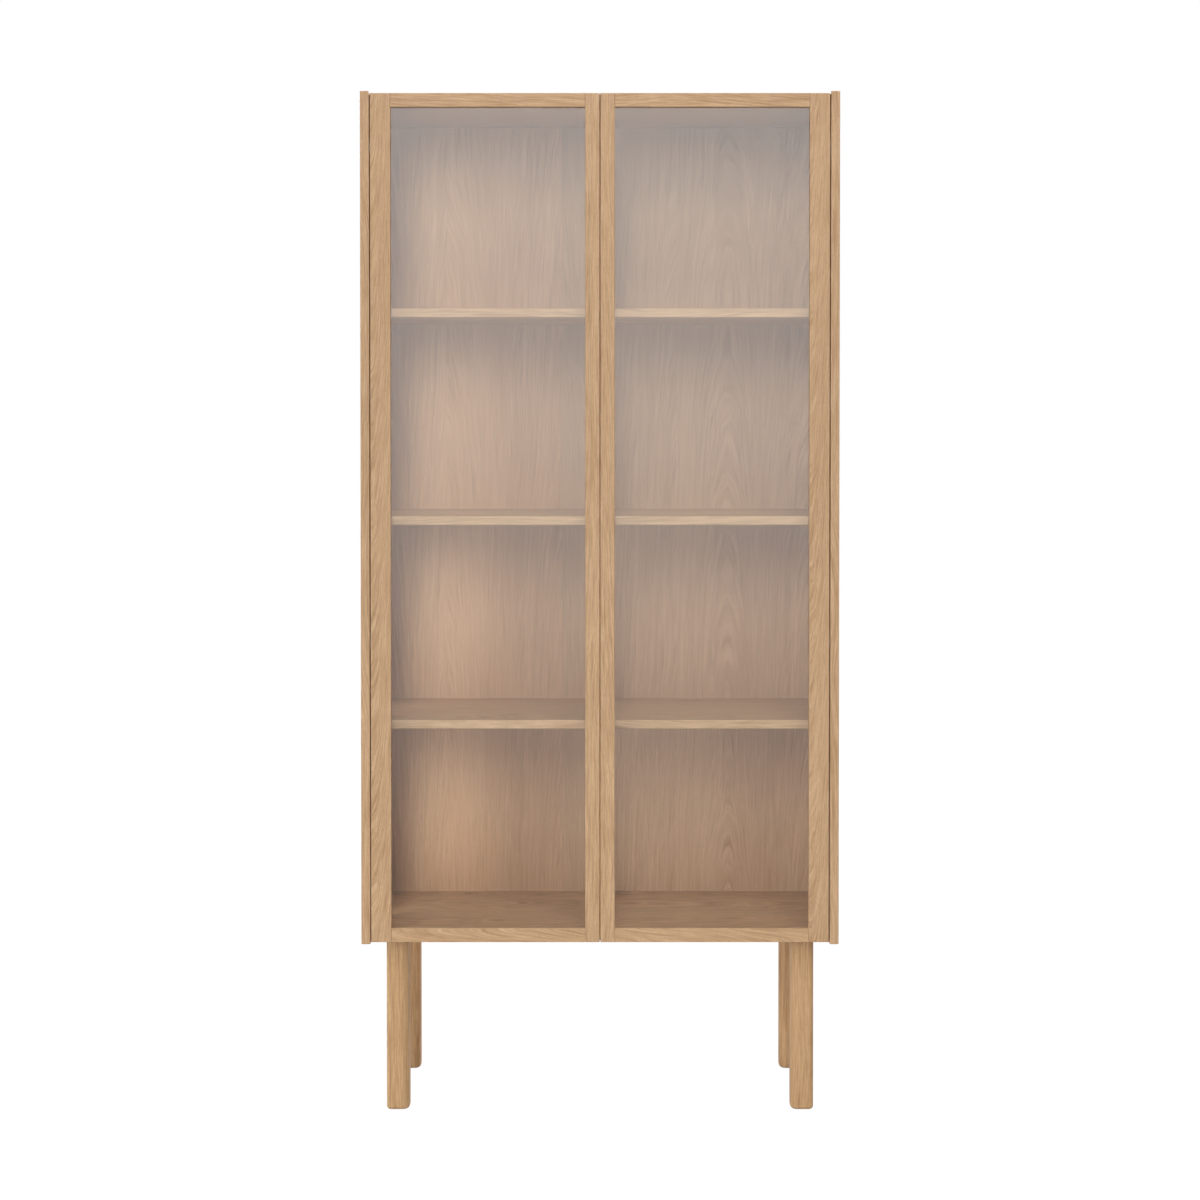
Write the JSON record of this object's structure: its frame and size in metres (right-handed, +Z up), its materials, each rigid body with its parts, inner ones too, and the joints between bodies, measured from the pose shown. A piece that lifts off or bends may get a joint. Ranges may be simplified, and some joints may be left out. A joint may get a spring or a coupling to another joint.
{
  "type": "bookcase with glass doors",
  "caption": "Tall oak display bookcase on square legs, with framed glass doors that swing out on concealed pins, push latches and loose shelves on spoon pins.",
  "frame": {"origin": "on the floor under the middle of the cabinet", "axes": "+Z up, +X to the right seen from the front, +Y from the doors to the back panel"},
  "size_m": [0.9, 0.4, 1.93],
  "materials": {
    "oak": "matt oiled natural oak",
    "clear_glass": "clear polished",
    "hinge_steel": "nickel plated",
    "zinc_steel": "zinc plated",
    "pin_steel": "nickel plated",
    "beech_dowel": "raw beech",
    "nylon_glide": "moulded nylon",
    "latch_plastic": "moulded",
    "clear_bumper": "clear silicone"
  },
  "bodies": {
    "cabinet": {"back_panel": "oak", "back_panel_screws": "zinc_steel", "bottom_panel": "oak", "carcass_dowels": "beech_dowel", "door_bumpers": "clear_bumper", "foot_glides": "nylon_glide", "hinge_arm_screws": "zinc_steel", "hinge_arms_left": "hinge_steel", "hinge_arms_right": "hinge_steel", "latch_housing_left": "latch_plastic", "latch_housing_right": "latch_plastic", "leg_bolts": "zinc_steel", "leg_front_left": "oak", "leg_front_right": "oak", "leg_inserts": "zinc_steel", "leg_rear_left": "oak", "leg_rear_right": "oak", "shelf_lower": "oak", "shelf_middle": "oak", "shelf_pins_lower": "pin_steel", "shelf_pins_middle": "pin_steel", "shelf_pins_upper": "pin_steel", "shelf_upper": "oak", "side_panel_left": "oak", "side_panel_right": "oak", "top_panel": "oak"},
    "left_door": {"hinge_stile_left": "oak", "meeting_stile_left": "oak", "top_rail_left": "oak", "bottom_rail_left": "oak", "glass_pane_left": "clear_glass", "bead_hinge_side_left": "oak", "bead_meeting_side_left": "oak", "bead_top_left": "oak", "bead_bottom_left": "oak", "frame_dowels_left": "beech_dowel", "hinge_leaves_left": "hinge_steel", "hinge_pins_left": "hinge_steel", "hinge_leaf_screws_left": "zinc_steel", "strike_plate_left": "zinc_steel"},
    "right_door": {"hinge_stile_right": "oak", "meeting_stile_right": "oak", "top_rail_right": "oak", "bottom_rail_right": "oak", "glass_pane_right": "clear_glass", "bead_hinge_side_right": "oak", "bead_meeting_side_right": "oak", "bead_top_right": "oak", "bead_bottom_right": "oak", "frame_dowels_right": "beech_dowel", "hinge_leaves_right": "hinge_steel", "hinge_pins_right": "hinge_steel", "hinge_leaf_screws_right": "zinc_steel", "strike_plate_right": "zinc_steel"},
    "left_plunger": {"latch_plunger_left": "latch_plastic"},
    "right_plunger": {"latch_plunger_right": "latch_plastic"}
  },
  "joints": [
    {"name": "left_door_swing", "type": "hinge", "parent": "cabinet", "child": "left_door", "pos_m": [-0.4254, -0.195, 1.1275], "axis": [0, 0, -1], "range_deg": [0, 95]},
    {"name": "right_door_swing", "type": "hinge", "parent": "cabinet", "child": "right_door", "pos_m": [0.4254, -0.195, 1.1275], "axis": [0, 0, 1], "range_deg": [0, 95]},
    {"name": "left_latch_push", "type": "slide", "parent": "cabinet", "child": "left_plunger", "axis": [0, 1, 0], "range_m": [0, 0.003], "stiffness_N_per_m": 300},
    {"name": "right_latch_push", "type": "slide", "parent": "cabinet", "child": "right_plunger", "axis": [0, 1, 0], "range_m": [0, 0.003], "stiffness_N_per_m": 300}
  ]
}
